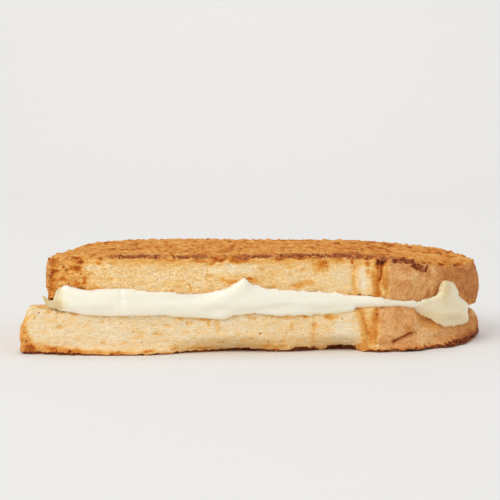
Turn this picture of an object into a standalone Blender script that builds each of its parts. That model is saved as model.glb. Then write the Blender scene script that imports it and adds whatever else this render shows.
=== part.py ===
"""Grilled cheese sandwich: two toasted slices of white bread on one layer of melted cheese.

A straight cut trims the front and shows the crumb. The loaf's crust goes round the rest: flat
at the left, where the loaf stood in its tin, straight at the back and domed at the right. The
cheese fills the space between the slices and runs out over their edges as a soft lip.

X runs along the cut, Y from the cut to the back and Z up. The sandwich stands on Z = 0, and
its origin is at the middle of its footprint.
"""

from math import cos, exp, pi, sin

import bmesh
import bpy
import numpy as np
from mathutils import Vector

MM = 0.001  # one millimetre, in metres

# Plan of the slices, in millimetres
CUT_LEFT, CUT_RIGHT = -53.7, 35.0  # where the cut meets the flat crust and the domed one
TIP_END = -51.3  # the lip of cheese leaves the cut bare from here to the flat crust
DEPTH = 82.0  # from the cut to the back crust
DOME_CENTRE = (20.0, 41.0)
DOME_REACH = 46.6
FRONT_POWER, BACK_POWER = 1.63, 1.85  # of its two quarters: 2 is an ellipse, less is more pointed
BACK_CORNER = 12.0
CUT_BELLY, BELLY_X, BELLY_WIDTH = 1.3, -35.0, 18.0  # the cut swells out a little at the left
CUT_RETREAT = 4.0  # and falls back towards the dome
LEDGE = 3.9  # how far the lower slice stands out past the upper one at the left
FOOT = 3.7  # how far the lower slice's left crust leans out at its foot
TUCK = 1.2  # how far the upper slice's left crust leans in at its lower edge
LEAN_WIDTH = 16.0  # a lean dies out this far from the crust

# Heights, in millimetres
TOP = 26.0
TOP_DROP = 3.6  # of the top towards the dome's end
LOWER_TOP = (  # (x, height) along the lower slice's upper face
    (-58, 12.9), (-50, 11.4), (-42, 10.6), (-22, 10.4), (-10, 9.8), (3, 10.8),
    (14, 10.6), (26, 11.6), (38, 12.1), (50, 10.0), (60, 8.5), (70, 7.4),
)
SPACE = (  # (x, height) of the space between the slices
    (-58, 1.6), (-53, 2.2), (-46, 4.0), (-38, 4.5), (28, 4.3), (36, 2.8), (43, 2.0), (70, 1.7),
)
GAP = 0.35  # between the cheese and the bread

FULLEST = 0.4  # the share of its height at which a wall bulges most

# One row for each side, anticlockwise from the front left corner: columns of vertices,
# how far the wall bulges, and the rounding of its lower and upper edge
SIDES = (
    ("tip", 2, 0.0, 0.5, 1.3),
    ("cut", 33, 0.0, 0.5, 0.6),
    ("dome", 32, 1.9, 1.5, 1.1),
    ("back", 12, 1.3, 1.4, 1.0),
    ("corner", 4, 0.9, 1.3, 1.2),
    ("left", 14, 0.4, 1.2, 0.8),
)
COLUMNS = sum(side[1] for side in SIDES)
MIDDLE = (6.0, 41.0)  # the point that the faces' rings close on
FACE_RINGS = (0.4, 0.72, 0.89)  # rings of a flat face, as shares of the way out to its edge

# The lip of cheese along the cut and the front of the dome: (x, low, high, reach)
LIP = (
    (-53.7, 12.3, 14.2, 1.1), (-52.5, 12.0, 14.3, 1.1), (-51.3, 11.5, 17.7, 1.6),
    (-49.5, 11.1, 18.4, 2.0), (-46.5, 10.8, 17.9, 2.1), (-42.5, 10.3, 17.4, 2.2),
    (-35.0, 10.2, 17.8, 2.2), (-28.0, 10.2, 17.2, 2.0), (-20.0, 10.0, 16.5, 1.8),
    (-11.0, 9.4, 16.2, 2.0), (-6.3, 9.1, 17.5, 2.3), (-3.7, 9.8, 19.2, 2.5),
    (-1.6, 10.2, 20.1, 2.5), (1.5, 10.6, 19.2, 2.4), (6.0, 9.8, 17.9, 2.2),
    (11.0, 9.9, 17.3, 2.0), (16.0, 10.4, 16.9, 1.7), (24.0, 11.2, 16.9, 1.4),
    (28.0, 11.9, 16.2, 1.1), (34.0, 12.3, 15.7, 0.8), (38.0, 11.8, 14.3, 0.5),
    (43.0, 11.2, 13.5, 0.7), (46.0, 9.6, 13.6, 1.2), (48.5, 7.4, 14.9, 2.2),
    (50.2, 6.2, 18.0, 2.8), (52.0, 5.2, 18.3, 3.2), (54.5, 4.8, 17.4, 3.3),
    (57.0, 4.7, 14.6, 3.0), (59.5, 5.0, 12.0, 2.2), (61.5, 6.2, 10.4, 1.4),
    (63.5, 7.2, 9.8, 0.8), (66.0, 7.4, 9.2, 0.6),
)
# (share of the lip's reach, share of its height) over the front of the lip
LIP_RINGS = ((0.55, 0.0), (0.97, 0.24), (1.0, 0.5), (0.86, 0.78), (0.45, 1.0))
LIP_ROOT = 0.14  # the share of the height at which the lip's inner side starts and ends
BACK_LIP = (0.6, 0.9, 1.1)  # how far the lip hangs, climbs and reaches at the back and left
LEAST_LIP = 0.8  # height
FLAT_MARGIN = 1.5  # the cheese lies flat on the bread up to here from its edge
ARC_POINT = (0.3, 0.29)  # (share up, share in) of a point round a rounded edge


def smoothstep(start, end, value):
    share = np.clip((value - start) / (end - start), 0.0, 1.0)
    return share * share * (3.0 - 2.0 * share)


def along(rows, x):
    """The values at x of a smooth curve through rows of (x, value, ...)."""
    table = np.array(rows, float)
    x = min(max(x, table[0, 0]), table[-1, 0])
    i = min(int(np.searchsorted(table[:, 0], x, "right")) - 1, len(table) - 2)
    before, after = table[max(i - 1, 0)], table[min(i + 2, len(table) - 1)]
    start, end = table[i], table[i + 1]
    width = end[0] - start[0]
    slope_in = (end - before)[1:] / (end[0] - before[0])
    slope_out = (after - start)[1:] / (after[0] - start[0])
    t = (x - start[0]) / width
    ease = t * t * (3 - 2 * t)
    return (
        start[1:] * (1 - ease)
        + end[1:] * ease
        + width * (slope_in * t * (1 - t) ** 2 - slope_out * t * t * (1 - t))
    )


def swell(x, y):
    """The slow unevenness that the slices and the cheese share."""
    return 0.25 * sin(x / 13 + 1.0) * sin(y / 17 + 0.5)


def lower_top(x, y):
    return along(LOWER_TOP, x)[0] + swell(x, y)


def upper_under(x, y):
    return lower_top(x, y) + along(SPACE, x)[0]


def upper_top(x, y):
    drop = TOP_DROP * smoothstep(28, 67, x) * (1 - 0.5 * smoothstep(35, 65, y))
    corner = 0.8 * smoothstep(-36, -54, x) * smoothstep(0, 32, y)
    return TOP - drop - corner + 0.2 * sin(x / 11) * sin(y / 14)


def cut_line(x):
    belly = CUT_BELLY * exp(-(((x - BELLY_X) / BELLY_WIDTH) ** 2))
    return CUT_RETREAT * smoothstep(-10, CUT_RIGHT, x) - belly


def resampled(path, count):
    """That many points in equal steps along the path, without its last point."""
    steps = np.r_[0.0, np.cumsum(np.linalg.norm(np.diff(path, axis=0), axis=1))]
    wanted = np.linspace(0.0, steps[-1], count, endpoint=False)
    return np.column_stack([np.interp(wanted, steps, path[:, axis]) for axis in (0, 1)])


def dome_path():
    """Two quarters of a superellipse, the first wide enough to start at the end of the cut."""
    centre_x, centre_y = DOME_CENTRE
    start = (CUT_RIGHT - centre_x) / DOME_REACH
    front = (centre_y - cut_line(CUT_RIGHT)) / (1 - start**FRONT_POWER) ** (1 / FRONT_POWER)
    points = []
    for angle in np.linspace(-np.arccos(start ** (FRONT_POWER / 2)), pi / 2, 160):
        power, half_width = (BACK_POWER, DEPTH - centre_y) if angle > 0 else (FRONT_POWER, -front)
        reach = DOME_REACH * max(cos(angle), 0.0) ** (2 / power)
        points.append((centre_x + reach, centre_y + half_width * abs(sin(angle)) ** (2 / power)))
    return np.array(points)


def plan(left):
    """The outline of a slice whose flat crust is at left, one point for each column."""
    cut_x = np.linspace(TIP_END, CUT_RIGHT, 80)
    turn = [(1 + cos(a), 1 + sin(a)) for a in np.linspace(pi / 2, pi, 20)]
    corner = np.array((left, DEPTH - 2 * BACK_CORNER)) + BACK_CORNER * np.array(turn)
    paths = {
        "tip": np.array([(x, cut_line(x)) for x in (left, TIP_END)]),
        "cut": np.array([(x, cut_line(x)) for x in cut_x]),
        "dome": dome_path(),
        "back": np.array(((DOME_CENTRE[0], DEPTH), (left + BACK_CORNER, DEPTH))),
        "corner": corner,
        "left": np.array(((left, DEPTH - BACK_CORNER), (left, cut_line(left)))),
    }
    return np.concatenate([resampled(paths[side[0]], side[1]) for side in SIDES])


def outwards(points):
    """For each point of an outline, the step that moves its two sides out by one."""
    ahead = np.roll(points, -1, axis=0) - points
    ahead /= np.linalg.norm(ahead, axis=1)[:, None]
    behind = np.roll(ahead, 1, axis=0)
    normal = np.column_stack([(ahead + behind)[:, 1], -(ahead + behind)[:, 0]])
    normal /= np.linalg.norm(normal, axis=1)[:, None]
    facing = normal[:, 0] * ahead[:, 1] - normal[:, 1] * ahead[:, 0]
    return normal / facing[:, None]


def column_values(field):
    """One field of SIDES for each column, eased between neighbouring sides."""
    values = np.concatenate([np.full(side[1], side[field]) for side in SIDES])
    padded = np.concatenate([values[-2:], values, values[:2]])
    return np.convolve(padded, np.ones(5) / 5, "valid")


def lower_lean(up):
    """How far the lower slice's left crust leans out, from its foot at 0 to its top at 1."""
    return FOOT * (1 - up * up)


def upper_lean(up):
    return -TUCK * (1 - up) ** 3


class Slice:
    """A slice of bread: an outline, a lean of its left crust, and the faces below and above."""

    def __init__(self, left, lean, under, over, foot_rounding):
        self.points = plan(left)
        self.out = outwards(self.points)
        self.bulge = column_values(2)
        self.low_rounding = foot_rounding * column_values(3)
        self.top_rounding = column_values(4)
        self.left, self.lean, self.under, self.over = left, lean, under, over

    def wall(self, column, z, out=0.0):
        """The point of the wall in that column at height z, moved out by that much."""
        x, y = self.points[column]
        low, high = self.under(x, y), self.over(x, y)
        up = min(max((z - low) / (high - low), 0.0), 1.0)
        out += self.bulge[column] * (1 - ((up - FULLEST) / (1 - FULLEST)) ** 2)
        x, y = self.points[column] + out * self.out[column]
        leans = smoothstep(self.left + LEAN_WIDTH, self.left, self.points[column][0])
        return x - self.lean(up) * leans, y


def reshaped_ball(name, rings, place, material):
    """A closed mesh: a sphere of that many rings whose vertices place(ring, column) sets."""
    mesh = bpy.data.meshes.new(name)
    cage = bmesh.new()
    bmesh.ops.create_uvsphere(cage, u_segments=COLUMNS, v_segments=rings + 1, radius=1.0)
    for vertex in cage.verts:
        ring = round((vertex.co.angle(Vector((0, 0, -1)))) / pi * (rings + 1))
        column = round(np.arctan2(vertex.co.y, vertex.co.x) / (2 * pi) * COLUMNS) % COLUMNS
        vertex.co = Vector(place(ring, column)) * MM
    cage.to_mesh(mesh)
    cage.free()
    mesh.shade_smooth()
    mesh.materials.append(material)
    return bpy.data.objects.new(name, mesh)


def towards_middle(point, share):
    return [m + (p - m) * share for m, p in zip(MIDDLE, point)]


def wall_steps(low, high, low_rounding, top_rounding):
    """(height, how far in) of each ring up a wall whose two edges are rounded."""
    start, end = low + low_rounding, high - top_rounding
    third = (end - start) / 3
    up, inwards = ARC_POINT
    return (
        (low, low_rounding),
        (low + up * low_rounding, inwards * low_rounding),
        (start, 0.0),
        (start + third, 0.0),
        (end - third, 0.0),
        (end, 0.0),
        (high - up * top_rounding, inwards * top_rounding),
        (high, top_rounding),
    )


def bread(name, piece, material):
    """A slice: rings out from the middle of its lower face, up its wall and in over its top."""
    walls = []
    for column, (x, y) in enumerate(piece.points):
        roundings = piece.low_rounding[column], piece.top_rounding[column]
        steps = wall_steps(piece.under(x, y), piece.over(x, y), *roundings)
        walls.append([(*piece.wall(column, z, -inwards), z) for z, inwards in steps])
    shares = (0.0, *FACE_RINGS)
    rings = 2 * len(FACE_RINGS) + len(walls[0])

    def place(ring, column):
        from_top = rings + 1 - ring
        if ring < len(shares):
            x, y = towards_middle(walls[column][0][:2], shares[ring])
            return x, y, piece.under(x, y)
        if from_top < len(shares):
            x, y = towards_middle(walls[column][-1][:2], shares[from_top])
            return x, y, piece.over(x, y)
        return walls[column][ring - len(shares)]

    return reshaped_ball(name, rings, place, material)


def lip_of(upper, column):
    """(low, high, reach) of the lip in that column."""
    x, y = upper.points[column]
    ripple = sin(column * 0.9 + 1.0) + 0.6 * sin(column * 2.1)
    low = lower_top(x, y) - BACK_LIP[0] * (1 + 0.5 * ripple)
    high = upper_under(x, y) + BACK_LIP[1] * (1 + 0.5 * ripple)
    reach = BACK_LIP[2] * (1 + 0.4 * ripple)
    apex = sum(side[1] for side in SIDES[:2]) + SIDES[2][1] / 2
    back = smoothstep(apex - 5, apex, column)
    low, high, reach = (1 - back) * along(LIP, x) + back * np.array((low, high, reach))
    return low, max(high, low + LEAST_LIP), reach


def lip_steps(lip, floor, roof):
    """(height, how far out) of each ring from the lower bread round the lip to the upper."""
    low, high, reach = lip
    inside = min(GAP, reach)
    root = LIP_ROOT * (high - low)
    front = [(low + up * (high - low), reach * out) for out, up in LIP_RINGS]
    return (
        (floor, inside),
        (min(low + root, floor), inside),
        *front,
        (max(high - root, roof), inside),
        (roof, inside),
    )


def cheese(upper, lower, material):
    """The layer between the slices, and its lip round their edges."""
    on_ledge = np.linalg.norm(lower.points - upper.points, axis=1) > LEDGE / 4
    lips = []
    for column, (x, y) in enumerate(upper.points):
        floor, roof = lower_top(x, y) + GAP, upper_under(x, y) - GAP
        lip = []
        for z, out in lip_steps(lip_of(upper, column), floor, roof):
            z = max(z, floor) if on_ledge[column] else z
            piece = lower if z < floor else upper
            lip.append((*piece.wall(column, z, out), z))
        lips.append(lip)
    edge = upper.points - FLAT_MARGIN * upper.out
    shares = (0.0, *FACE_RINGS, 1.0)
    rings = 2 * len(FACE_RINGS) + 2 + len(lips[0])

    def place(ring, column):
        from_top = rings + 1 - ring
        if ring < len(shares):
            x, y = towards_middle(edge[column], shares[ring])
            return x, y, lower_top(x, y) + GAP
        if from_top < len(shares):
            x, y = towards_middle(edge[column], shares[from_top])
            return x, y, upper_under(x, y) - GAP
        return lips[column][ring - len(shares)]

    return reshaped_ball("cheese", rings, place, material)


def finish(name, colour, roughness):
    """A plain material of that sRGB colour."""
    material = bpy.data.materials.new(name)
    material.use_nodes = True
    shader = material.node_tree.nodes["Principled BSDF"]
    linear = [((c / 255 + 0.055) / 1.055) ** 2.4 for c in colour]
    shader.inputs["Base Color"].default_value = (*linear, 1.0)
    shader.inputs["Roughness"].default_value = roughness
    shader.inputs["Metallic"].default_value = 0.0
    material.diffuse_color = (*linear, 1.0)
    return material


def stand_on_origin(pieces):
    """Moves the pieces so that the middle of their footprint is at the origin."""
    corners = np.concatenate([np.array([v.co for v in piece.data.vertices]) for piece in pieces])
    middle = (corners.min(axis=0) + corners.max(axis=0)) / 2
    for piece in pieces:
        piece.location = (-middle[0], -middle[1], -corners.min(axis=0)[2])


def main():
    for old in list(bpy.data.objects):
        bpy.data.objects.remove(old)
    sandwich = bpy.data.collections.new("grilled_cheese_sandwich")
    bpy.context.scene.collection.children.link(sandwich)

    upper = Slice(CUT_LEFT, upper_lean, upper_under, upper_top, 0.5)
    lower = Slice(CUT_LEFT - LEDGE, lower_lean, lambda x, y: 0.0, lower_top, 1.0)
    toast = finish("toasted white bread", (213, 157, 101), 0.85)
    melted = finish("melted mozzarella", (245, 238, 216), 0.35)
    pieces = [
        bread("upper_bread", upper, toast),
        cheese(upper, lower, melted),
        bread("lower_bread", lower, toast),
    ]
    stand_on_origin(pieces)
    for piece in pieces:
        sandwich.objects.link(piece)


main()
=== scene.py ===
"""Grilled cheese sandwich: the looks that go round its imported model.

Two slices of toasted white bread hold one layer of melted mozzarella. Each slice is a fine mesh
over its solid. Fields on it say how brown, oily, charred or torn each place is; Geometry Nodes
then open the pores of the crumb, blister the fried faces and wrinkle the crust. The cheese is a
smooth mesh over its own solid, with the folds that it set in. Geometry Nodes scatter the loose
toast along the rims.

Places are in millimetres: x along the cut, d back from the cut, z up from the floor.
"""

from math import cos, pi, radians, sin

import bmesh
import bpy
import numpy as np
from bpy.props import FloatProperty, FloatVectorProperty, IntProperty, PointerProperty
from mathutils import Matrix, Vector


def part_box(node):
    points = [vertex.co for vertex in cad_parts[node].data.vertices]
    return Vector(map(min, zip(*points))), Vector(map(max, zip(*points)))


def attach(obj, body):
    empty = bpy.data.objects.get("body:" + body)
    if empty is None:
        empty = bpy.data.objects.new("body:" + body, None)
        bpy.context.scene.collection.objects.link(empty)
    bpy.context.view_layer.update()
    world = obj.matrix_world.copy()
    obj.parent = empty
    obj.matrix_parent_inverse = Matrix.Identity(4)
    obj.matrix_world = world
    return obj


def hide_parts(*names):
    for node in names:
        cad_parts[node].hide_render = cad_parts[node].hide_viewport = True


bl_info = {
    "name": "Grilled cheese sandwich",
    "version": (1, 0, 0),
    "blender": (4, 5, 0),
    "location": "View3D > Sidebar > Sandwich",
    "description": "Makes the toasted slices, the melted cheese, the loose toast and the stage",
    "category": "Object",
}

MM = 0.001  # one millimetre, in metres

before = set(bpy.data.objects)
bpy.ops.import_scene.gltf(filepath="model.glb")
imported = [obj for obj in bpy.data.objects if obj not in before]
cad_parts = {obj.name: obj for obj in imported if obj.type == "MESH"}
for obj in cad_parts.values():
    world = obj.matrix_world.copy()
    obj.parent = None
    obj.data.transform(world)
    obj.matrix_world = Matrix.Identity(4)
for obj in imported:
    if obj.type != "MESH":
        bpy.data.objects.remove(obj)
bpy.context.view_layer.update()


def box_mm(node):
    """The lowest and highest corner of a node, in millimetres."""
    return tuple(np.array(corner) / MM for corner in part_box(node))


LOWER_BOX, UPPER_BOX = box_mm("lower_bread"), box_mm("upper_bread")
CUT_BELLY, BELLY_X, BELLY_WIDTH = 1.3, -38.6, 18.0  # the cut swells out a little at the left
CUT_RETREAT, RETREAT_START, CUT_END = 4.0, -13.6, 31.4  # and falls back to where the dome starts
CUT_PLANE = LOWER_BOX[0][1] + CUT_BELLY  # the y that d is counted from


# ---------------------------------------------------------------- numbers and fields


def smoothstep(start, end, value):
    share = np.clip((value - start) / (end - start), 0.0, 1.0)
    return share * share * (3.0 - 2.0 * share)


def lattice(cells, seed):
    """A fixed random number from -1 to 1 for each whole-numbered cell."""
    a, b, c = (cells[:, i].astype(np.int64) for i in range(3))
    mixed = (a * 73856093) ^ (b * 19349663) ^ (c * 83492791) ^ (seed * 2654435761)
    mixed = ((mixed ^ (mixed >> 13)) * 1274126177) & 0x7FFFFFFF
    return (mixed ^ (mixed >> 15)) % 65521 / 32760.0 - 1.0


def cloudy(points, size, seed):
    """Smooth noise from about -1 to 1 whose lumps have that size: one number, or one for x, d, z."""
    scaled = points / np.array(size, float)
    cell = np.floor(scaled)
    part = scaled - cell
    part = part * part * (3 - 2 * part)
    total = np.zeros(len(points))
    for corner in np.ndindex(2, 2, 2):
        weight = np.prod(np.where(corner, part, 1 - part), axis=1)
        total += weight * lattice(cell + corner, seed)
    return total


def layered(points, size, seed):
    """Three layers of noise, each half the size and half the strength of the one before."""
    layers = [cloudy(points, np.array(size, float) / 2**i, seed + i) / 2**i for i in range(3)]
    return sum(layers) / 1.4


def patch(u, v, centre, half, tilt=0.0, soft=0.35):
    """A soft-edged oval: 1 inside, 0 outside. half holds its two half sizes; tilt is in degrees."""
    a = radians(tilt)
    along = ((u - centre[0]) * cos(a) + (v - centre[1]) * sin(a)) / half[0]
    across = (-(u - centre[0]) * sin(a) + (v - centre[1]) * cos(a)) / half[1]
    return smoothstep(1 + soft, 1 - soft, np.hypot(along, across))


def stroke(u, v, path, width, soft=0.6):
    """A line through the path's points: 1 on it and 0 from half its width out, and softer."""
    nearest = np.full(len(u), 1e9)
    for (u0, v0), (u1, v1) in zip(path, path[1:]):
        run = np.array((u1 - u0, v1 - v0))
        share = np.clip(((u - u0) * run[0] + (v - v0) * run[1]) / (run @ run), 0, 1)
        nearest = np.minimum(nearest, np.hypot(u - u0 - share * run[0], v - v0 - share * run[1]))
    return smoothstep(width * (0.5 + soft), width * 0.5 * (1 - soft), nearest)


def curve(rows, x):
    """The value at x of a line through (x, value) rows."""
    table = np.array(rows, float)
    return np.interp(x, table[:, 0], table[:, 1])


def front_line(x):
    """The d of the cut's surface at x."""
    belly = CUT_BELLY * np.exp(-(((x - BELLY_X) / BELLY_WIDTH) ** 2))
    return CUT_RETREAT * smoothstep(RETREAT_START, CUT_END, x) - belly


# ---------------------------------------------------------------- meshes


def merged_copy(node, name):
    """A new object with the node's mesh, its loose triangles joined."""
    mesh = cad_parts[node].data.copy()
    mesh.name = name
    mesh.materials.clear()
    cage = bmesh.new()
    cage.from_mesh(mesh)
    bmesh.ops.remove_doubles(cage, verts=cage.verts, dist=1e-6)
    cage.to_mesh(mesh)
    cage.free()
    piece = bpy.data.objects.new(name, mesh)
    bpy.context.scene.collection.objects.link(piece)
    return piece


def bake_modifiers(piece):
    """Turns the object with its modifiers into a plain mesh."""
    graph = bpy.context.evaluated_depsgraph_get()
    mesh = bpy.data.meshes.new_from_object(
        piece.evaluated_get(graph), preserve_all_data_layers=True, depsgraph=graph
    )
    old = piece.data
    piece.modifiers.clear()
    piece.data = mesh
    name = old.name
    bpy.data.meshes.remove(old)
    mesh.name = name


def evened(piece, cell, smoothing=0):
    """Gives the object square faces of that size, in metres, and smooths them so many times."""
    remesh = piece.modifiers.new("Even faces", "REMESH")
    remesh.mode = "VOXEL"
    remesh.voxel_size = cell
    if smoothing:
        smooth = piece.modifiers.new("Smooth", "SMOOTH")
        smooth.factor = 0.5
        smooth.iterations = smoothing
    bake_modifiers(piece)


def refined(mesh, cell, shares, wanted):
    """Cuts the faces, still of that size, for which wanted(centre, normal) is true."""
    cage = bmesh.new()
    cage.from_mesh(mesh)
    whole = [f for f in cage.faces if f.calc_area() > 0.4 * cell * cell]
    centres = np.array([f.calc_center_median() for f in whole]) / MM
    centres[:, 1] -= CUT_PLANE
    facing = np.array([f.normal for f in whole])
    edges = {edge for i in np.flatnonzero(wanted(centres, facing)) for edge in whole[i].edges}
    made = bmesh.ops.subdivide_edges(
        cage, edges=list(edges), cuts=shares - 1, use_grid_fill=True, smooth=0.0
    )
    inner = [e for e in made["geom_inner"] if isinstance(e, bmesh.types.BMVert)]
    for _ in range(2):
        bmesh.ops.smooth_vert(
            cage, verts=inner, factor=0.5, use_axis_x=True, use_axis_y=True, use_axis_z=True
        )
    cage.to_mesh(mesh)
    cage.free()


def places(mesh):
    """The mesh's vertices as x, d and z in millimetres."""
    co = np.empty(len(mesh.vertices) * 3, np.float32)
    mesh.vertices.foreach_get("co", co)
    points = co.reshape(-1, 3).astype(float) / MM
    points[:, 1] -= CUT_PLANE
    return points


def normals(mesh):
    values = np.empty(len(mesh.vertices) * 3, np.float32)
    mesh.vertices.foreach_get("normal", values)
    return values.reshape(-1, 3).astype(float)


def put_back(mesh, points):
    """Writes x, d and z in millimetres back to the mesh."""
    co = points.copy()
    co[:, 1] += CUT_PLANE
    mesh.vertices.foreach_set("co", (co * MM).astype(np.float32).ravel())
    mesh.update()


def store(mesh, name, values):
    """Keeps one number for each vertex under that name, for the node trees to read."""
    field = mesh.attributes.get(name) or mesh.attributes.new(name, "FLOAT", "POINT")
    field.data.foreach_set("value", np.asarray(values, np.float32))


# ---------------------------------------------------------------- node trees


def linear(hex_colour):
    """An sRGB hex colour as linear red, green, blue and alpha."""
    parts = [int(hex_colour[i : i + 2], 16) / 255 for i in (1, 3, 5)]
    return (*[c / 12.92 if c <= 0.04045 else ((c + 0.055) / 1.055) ** 2.4 for c in parts], 1.0)


def add(tree, kind, settings=None, **links):
    """Adds a node with its settings; each other word names an input and its value or its source.

    A colour ramp's stops are among the settings, as (place, hex colour) pairs.
    """
    node = tree.nodes.new(kind)
    for key, value in (settings or {}).items():
        if key == "stops":
            band = node.color_ramp
            while len(band.elements) < len(value):
                band.elements.new(1.0)
            for element, (place, colour) in zip(band.elements, value):
                element.position = place
                element.color = linear(colour)
        else:
            setattr(node, key, value)
    for key, value in links.items():
        name = key.strip("_").replace("_", " ")
        socket = node.inputs[int(name)] if name.isdigit() else node.inputs[name]
        if isinstance(value, bpy.types.NodeSocket):
            tree.links.new(value, socket)
        else:
            socket.default_value = value
    return node


def total(tree, start, *terms):
    """The start plus each term's value times its weight."""
    for value, weight in terms:
        start = add(
            tree, "ShaderNodeMath", {"operation": "MULTIPLY_ADD"}, _0=value, _1=weight, _2=start
        ).outputs[0]
    return start


def new_geometry_tree(name, inputs):
    """A Geometry Nodes tree and its inputs, given as (name, default, socket type)."""
    tree = bpy.data.node_groups.new(name, "GeometryNodeTree")
    tree.interface.new_socket("Geometry", in_out="INPUT", socket_type="NodeSocketGeometry")
    for label, value, kind in inputs:
        socket = tree.interface.new_socket(label, in_out="INPUT", socket_type=kind)
        if value is not None:
            socket.default_value = value
    tree.interface.new_socket("Geometry", in_out="OUTPUT", socket_type="NodeSocketGeometry")
    return tree, add(tree, "NodeGroupInput").outputs


def finish_geometry_tree(tree, geometry, material):
    """Makes instances real, gives them the material and sends them to the output."""
    real = add(tree, "GeometryNodeRealizeInstances", Geometry=geometry)
    dressed = add(tree, "GeometryNodeSetMaterial", Geometry=real.outputs[0], Material=material)
    add(tree, "NodeGroupOutput", _0=dressed.outputs[0])


def run_tree(piece, tree, values):
    """Runs the tree on the piece with its named inputs set, and keeps the result as its mesh."""
    modifier = piece.modifiers.new(tree.name, "NODES")
    modifier.node_group = tree
    sockets = {
        item.name: item.identifier
        for item in tree.interface.items_tree
        if item.item_type == "SOCKET" and item.in_out == "INPUT"
    }
    for name, value in values.items():
        modifier[sockets[name]] = value
    bake_modifiers(piece)


def relief_tree():
    """Opens the crumb's pores, blisters the fried faces and wrinkles the crust."""
    tree, given = new_geometry_tree(
        "Bread relief",
        (
            ("Pore size", 1.9 * MM, "NodeSocketFloat"),
            ("Pore depth", 0.35 * MM, "NodeSocketFloat"),
            ("Fibre size", 0.9 * MM, "NodeSocketFloat"),
            ("Fibre depth", 0.2 * MM, "NodeSocketFloat"),
            ("Blister size", 1.5 * MM, "NodeSocketFloat"),
            ("Blister depth", 0.4 * MM, "NodeSocketFloat"),
            ("Wrinkle size", 0.9 * MM, "NodeSocketFloat"),
            ("Wrinkle depth", 0.12 * MM, "NodeSocketFloat"),
            ("Seed", 0.0, "NodeSocketFloat"),
            ("Material", None, "NodeSocketMaterial"),
        ),
    )
    place = add(tree, "GeometryNodeInputPosition").outputs[0]
    told = {
        name: add(
            tree, "GeometryNodeInputNamedAttribute", {"data_type": "FLOAT"}, Name=name
        ).outputs["Attribute"]
        for name in ("crumb", "fried", "crust", "torn")
    }
    lift, noises = 0.0, {}
    for name, share, shape, rough in (
        ("Fibre", "crumb", (0.45, 1.0, 1.0), 0.6),
        ("Blister", "fried", (1.0, 0.7, 1.0), 0.55),
        ("Wrinkle", "crust", (1.0, 1.0, 1.0), 0.65),
    ):
        drawn = add(tree, "ShaderNodeVectorMath", {"operation": "MULTIPLY"}, _0=place, _1=shape)
        counted = add(
            tree, "ShaderNodeMath", {"operation": "DIVIDE"}, _0=1.0, _1=given[name + " size"]
        )
        scaled = add(
            tree, "ShaderNodeVectorMath", {"operation": "SCALE"},
            _0=drawn.outputs[0], Scale=counted.outputs[0],
        )
        noises[name] = add(
            tree, "ShaderNodeTexNoise", {"noise_dimensions": "4D", "normalize": False},
            Vector=scaled.outputs[0], W=given["Seed"], Scale=1.0, Detail=3.0, Roughness=rough,
        ).outputs[0]
        deep = add(
            tree, "ShaderNodeMath", {"operation": "MULTIPLY"},
            _0=given[name + " depth"], _1=told[share],
        )
        lift = total(tree, lift, (noises[name], deep.outputs[0]))

    # each cell's own number says how wide its pore is, so that most cells have none
    counted = add(tree, "ShaderNodeMath", {"operation": "DIVIDE"}, _0=1.0, _1=given["Pore size"])
    drawn = add(
        tree, "ShaderNodeVectorMath", {"operation": "MULTIPLY"}, _0=place, _1=(0.6, 1.0, 1.15)
    )
    cells = add(
        tree, "ShaderNodeVectorMath", {"operation": "SCALE"},
        _0=drawn.outputs[0], Scale=counted.outputs[0],
    )
    pores = add(
        tree, "ShaderNodeTexVoronoi", {"voronoi_dimensions": "4D"},
        Vector=cells.outputs[0], W=given["Seed"], Scale=1.0,
    )
    chance = add(tree, "FunctionNodeSeparateColor", Color=pores.outputs["Color"]).outputs[0]
    wide = add(
        tree, "ShaderNodeMapRange", {"clamp": True},
        Value=total(tree, chance, (told["torn"], 0.35)),
        From_Min=0.45, From_Max=1.0, To_Min=0.0, To_Max=0.5,
    ).outputs["Result"]
    pore = add(
        tree, "ShaderNodeMapRange", {"interpolation_type": "SMOOTHSTEP", "clamp": True},
        Value=total(tree, wide, (pores.outputs["Distance"], -1.0)), From_Min=-0.06, From_Max=0.16,
    ).outputs["Result"]
    opened = add(tree, "ShaderNodeMath", {"operation": "MULTIPLY"}, _0=pore, _1=told["crumb"])
    inwards = add(
        tree, "ShaderNodeMath", {"operation": "MULTIPLY"}, _0=given["Pore depth"], _1=-1.0
    )
    lift = total(tree, lift, (opened.outputs[0], inwards.outputs[0]))

    # the pores and the blisters' hollows are kept under a name of their own, for the bread's material to paint
    # darker as shade
    hollow = add(
        tree, "ShaderNodeMapRange", {"interpolation_type": "SMOOTHSTEP", "clamp": True},
        Value=noises["Blister"], From_Min=0.05, From_Max=-0.35,
    ).outputs["Result"]
    pit = total(tree, opened.outputs[0], (hollow, told["fried"]))
    kept = add(
        tree, "GeometryNodeStoreNamedAttribute", {"data_type": "FLOAT", "domain": "POINT"},
        Geometry=given["Geometry"], Name="pit", Value=pit,
    )
    normal = add(tree, "GeometryNodeInputNormal").outputs[0]
    offset = add(tree, "ShaderNodeVectorMath", {"operation": "SCALE"}, _0=normal, Scale=lift)
    moved = add(
        tree, "GeometryNodeSetPosition", Geometry=kept.outputs[0], Offset=offset.outputs[0]
    )
    finish_geometry_tree(tree, moved.outputs[0], given["Material"])
    return tree


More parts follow.
